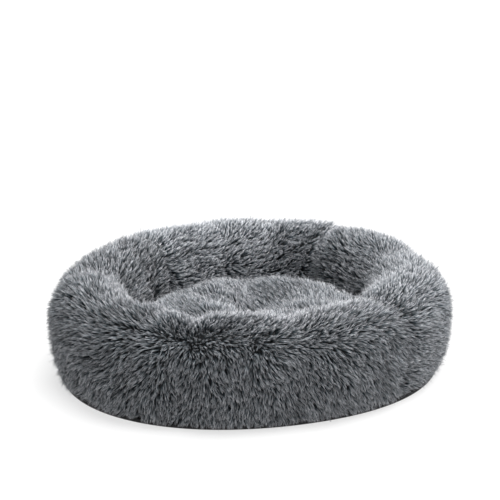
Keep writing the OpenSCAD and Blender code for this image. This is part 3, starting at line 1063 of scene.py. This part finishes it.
STITCH = 5 * MM
STITCH_STEP = 8 * MM
THREAD_R = 0.45 * MM
THREAD_FLAT = 0.55
THREAD_SINK = 0.18 * MM
ROW_INSET = 5 * MM
shape = [(-0.5, 0), (-0.46, 0.55), (-0.34, 0.95), (0, 1.05), (0.34, 0.95), (0.46, 0.55), (0.5, 0)]
stitch_verts, stitch_faces = lathe_x([(x * STITCH, r * THREAD_R) for x, r in shape], 8)
stitch_verts = [(x, y, z * THREAD_FLAT) for x, y, z in stitch_verts]
cord_grey = patterned(
    "sewing_thread",
    (0.05, 0.05, 0.055),
    (0.12, 0.12, 0.13),
    2200,
    bump=0.5,
    stretch=(1, 1, 4),
    Roughness=0.55,
)

row_r = foot_line(theta, tape_w + ROW_INSET)
row = np.stack([row_r * np.cos(theta), row_r * np.sin(theta)], axis=1)
girth = np.linalg.norm(row - np.roll(row, 1, axis=0), axis=1).sum()
stitch_at = resample(row, int(girth / STITCH_STEP), closed=True)
way = np.roll(stitch_at, -1, axis=0) - np.roll(stitch_at, 1, axis=0)
thread_z = base_z - THREAD_SINK
places = [(x, y, thread_z, math.atan2(dy, dx)) for (x, y), (dx, dy) in zip(stitch_at, way)]
edge_row = copies("edge_stitches", stitch_verts, stitch_faces, places, cord_grey)
take(edge_row, "bed", "thread", "binding_stitches")

HEM_STITCH_Y = 8.3 * MM
hem_z = base_high.z - BASE_T - THREAD_SINK
hem_x = np.arange(-23, 24) * STITCH_STEP
places = [(x, side * HEM_STITCH_Y, hem_z, 0) for side in (-1, 1) for x in hem_x]
hem_rows = copies("hem_stitches", stitch_verts, stitch_faces, places, cord_grey)
take(hem_rows, "bed", "thread", "zipper_stitches")

# %% Print the grip dots
DOT_R = 3 * MM
DOT_PITCH = 30 * MM
DOT_SIDES = 20
LABEL_ROOM = (30 * MM, 19 * MM)
label_mid = (label_low + label_high) / 2
rubber = patterned(
    "grip_rubber", (0.010, 0.010, 0.010), (0.022, 0.022, 0.022), 500, bump=0.15, Roughness=0.48
)
# The dome's profile: shares of the dot's radius and of its height above the floor
dome = [(1.0, 1.0), (0.96, 0.55), (0.78, 0.18), (0.45, 0.0)]
dot_turns = [k * 2 * math.pi / DOT_SIDES for k in range(DOT_SIDES)]
dot_verts = [
    (DOT_R * r * math.cos(turn), DOT_R * r * math.sin(turn), base_z * z)
    for r, z in dome
    for turn in dot_turns
]
last_circle = (len(dome) - 1) * DOT_SIDES
dot_faces = [tuple(range(DOT_SIDES)), tuple(range(last_circle, len(dot_verts)))[::-1]]
for a in range(0, last_circle, DOT_SIDES):
    for k in range(DOT_SIDES):
        after = (k + 1) % DOT_SIDES
        dot_faces.append((a + after, a + k, a + DOT_SIDES + k, a + DOT_SIDES + after))
dot_places = []
for line in range(-11, 12):
    for step in range(-11, 12):
        x = (step + 0.5 * (line % 2)) * DOT_PITCH
        y = line * DOT_PITCH * math.sin(math.radians(60))
        room = foot_line(np.array([math.atan2(y, x)]), tape_w + ROW_INSET + 2 * DOT_R)[0]
        beside_zip = abs(y) < CHANNEL_HALF + 2 * DOT_R and abs(x) < CHANNEL_END + 2 * DOT_R
        on_label = abs(x - label_mid.x) < LABEL_ROOM[0] and abs(y - label_mid.y) < LABEL_ROOM[1]
        if math.hypot(x, y) < room and not beside_zip and not on_label:
            dot_places.append((x, y, 0, 0))
dots = copies("rubber_dots", dot_verts, dot_faces, dot_places, rubber)
take(dots, "bed", "grip_rubber", "grip_dots")
print(len(stitch_at), "edge stitches,", len(dot_places), "grip dots")

# %% Sew on the label
LABEL_WAVES = 3
LABEL_CURL = 0.12 * MM
satin = woven(
    "white_satin", (0.62, 0.62, 0.61), (0.80, 0.80, 0.78), 0.5 * MM, bump=0.3, Roughness=0.45
)
label_w, label_d = label_high.x - label_low.x, label_high.y - label_low.y
label_t = label_high.z - label_low.z
steps_x, steps_y = 24, 12
along_x, along_y = np.linspace(-0.5, 0.5, steps_x), np.linspace(-0.5, 0.5, steps_y)
gx, gy = np.meshgrid(along_x, along_y, indexing="ij")
curl = LABEL_CURL * np.cos(gx * 2 * math.pi * LABEL_WAVES) * (1 - (2 * gy) ** 2)
label_z = base_z - label_t / 2 + curl * 0.5
ribbon = np.stack([label_mid.x + gx * label_w, label_mid.y + gy * label_d, label_z], axis=2)
label_faces = strip_quads(steps_x, steps_y).tolist()
label = object_from("label_ribbon", ribbon.reshape(-1, 3).tolist(), label_faces, satin)
ribbon_thick = label.modifiers.new("thick", "SOLIDIFY")
ribbon_thick.thickness, ribbon_thick.offset = label_t * 0.6, 0.0
take(label, "bed", "label", "care_label")

# %% [markdown]
# ## The zipper
# A nylon coil zipper has no separate teeth: each side is one thick thread wound in a flattened
# spiral and sewn to a woven tape. Two such spirals, a quarter turn out of step, are swept here as
# tubes. The slider, its puller and the end stops are die-cast, so they keep the exact shapes of
# the frame and get a satin metal.

# %% Wind the coils
COIL_PITCH = 1.6 * MM
WIRE_R = 0.36 * MM
TURN_POINTS = 12
WIRE_SIDES = 6
nylon = patterned(
    "coil_nylon", (0.012, 0.012, 0.013), (0.03, 0.03, 0.033), 900, bump=0.1, Roughness=0.38
)


def spiral(name, y_mid, half_w, half_h, shift):
    """A flattened spiral tube along X."""
    turns = (coil_high.x - coil_low.x - 2 * WIRE_R) / COIL_PITCH
    a = np.arange(int(turns * TURN_POINTS)) * 2 * math.pi / TURN_POINTS
    z_mid = (coil_low.z + coil_high.z) / 2
    line = np.stack(
        [
            coil_low.x + WIRE_R + a / (2 * math.pi) * COIL_PITCH,
            y_mid + (half_w - WIRE_R) * np.cos(a + shift),
            z_mid + (half_h - WIRE_R) * np.sin(a + shift),
        ],
        axis=1,
    )
    forward = unit(np.gradient(line, axis=0))
    out = unit(np.cross(forward, [1.0, 0, 0]))
    side = np.cross(out, forward)
    ring_a = np.arange(WIRE_SIDES) * 2 * math.pi / WIRE_SIDES
    cos, sin = np.cos(ring_a)[None, :, None], np.sin(ring_a)[None, :, None]
    tube = line[:, None] + WIRE_R * (out[:, None] * cos + side[:, None] * sin)
    rows, columns = tube.shape[:2]
    i, j = np.arange(rows - 1)[:, None], np.arange(columns)[None, :]
    near, next_row, far = i * columns, (i + 1) * columns, (j + 1) % columns
    corners = [near + j, next_row + j, next_row + far, near + far]
    faces = np.stack(np.broadcast_arrays(*corners), axis=-1).reshape(-1, 4)
    ends = [list(range(columns)), [(rows - 1) * columns + k for k in range(columns)][::-1]]
    return object_from(name, tube.reshape(-1, 3).tolist(), faces.tolist() + ends, nylon)


coil_mid = (coil_low.y + coil_high.y) / 2
half_w, half_h = (coil_high.y - coil_low.y) / 2, (coil_high.z - coil_low.z) / 2
for half, y_mid, shift in (("back", coil_mid, 0.0), ("front", -coil_mid, math.pi / 2)):
    coil = spiral(f"coil_{half}", y_mid, half_w, half_h, shift)
    take(coil, "bed", "zip_coil", f"zipper_coil_{half}")

# %% Finish the zipper's other parts
tape_weave = woven(
    "zipper_tape_weave", (0.008, 0.008, 0.009), (0.035, 0.035, 0.038), 0.7 * MM, Roughness=0.8
)
metal = patterned(
    "satin_nickel",
    (0.50, 0.50, 0.51),
    (0.60, 0.60, 0.61),
    700,
    bump=0.05,
    Metallic=1.0,
    Roughness=0.32,
)


def coat(material, *nodes):
    """Gives CAD nodes that stay visible one material."""
    for node in nodes:
        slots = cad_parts[node].data.materials
        slots.clear()
        slots.append(material)


coat(tape_weave, "zipper_tape_front", "zipper_tape_back")
coat(metal, "zipper_stops", "zipper_slider", "zipper_puller")

# %% Update the view layer
bpy.context.view_layer.update()
